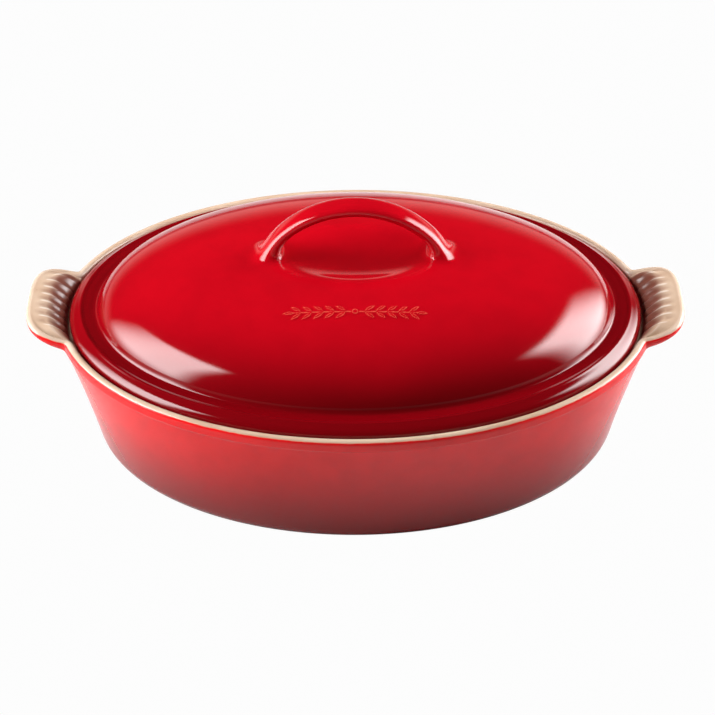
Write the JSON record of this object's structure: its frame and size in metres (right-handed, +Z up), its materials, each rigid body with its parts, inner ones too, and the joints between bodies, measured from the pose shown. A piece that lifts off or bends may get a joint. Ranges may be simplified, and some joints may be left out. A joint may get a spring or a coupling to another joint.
{
  "type": "covered casserole dish",
  "caption": "Oval glazed stoneware casserole dish with fluted ear handles and a domed lid that rests on a ledge inside the rim, lifted by an integral loop handle over a finger well.",
  "frame": {"origin": "centre of the dish's foot, on the surface it stands on", "axes": "+X along the dish's long axis towards one ear handle, +Y across it towards the back of the picture, +Z up"},
  "size_m": [0.43, 0.301, 0.1705],
  "materials": {
    "dish_glaze": "glossy red glaze outside, glossy cream glaze on the rim, the ears' upper faces and the inside, unglazed foot ring",
    "lid_glaze": "glossy red glaze outside, glossy cream glaze underneath, unglazed seat ring"
  },
  "bodies": {
    "dish": {"dish": "dish_glaze"},
    "lid": {"lid": "lid_glaze"}
  },
  "joints": [
    {"name": "lid_lift", "type": "slide", "parent": "dish", "child": "lid", "axis": [0, 0, 1], "range_m": [0, 0.12]}
  ]
}
